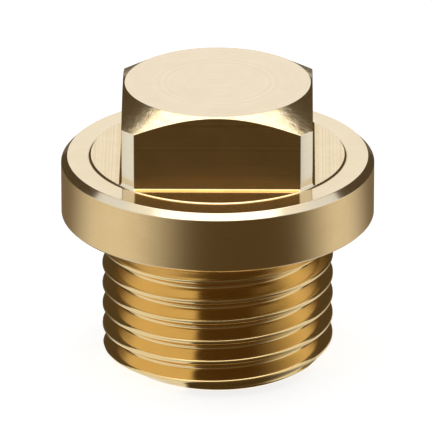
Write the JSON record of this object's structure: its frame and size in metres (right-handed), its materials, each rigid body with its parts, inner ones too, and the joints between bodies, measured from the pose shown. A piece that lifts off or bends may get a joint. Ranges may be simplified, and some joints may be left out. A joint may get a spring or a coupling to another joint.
{
  "type": "brass pipe plug",
  "caption": "Brass screw plug with a milled square head, a round sealing collar and a short parallel pipe thread that closes a threaded port.",
  "frame": {"origin": "centre of the flat end of the thread, which the plug stands on", "axes": "+Z along the plug's axis, from the thread's end up through the square head; -Y is square to the flat that faces the viewer"},
  "size_m": [0.013, 0.013, 0.0122],
  "materials": {
    "brass": "bare machined brass: turned collar and crown, finely milled flats, cut thread"
  },
  "bodies": {
    "root": {"plug": "brass"}
  },
  "joints": []
}
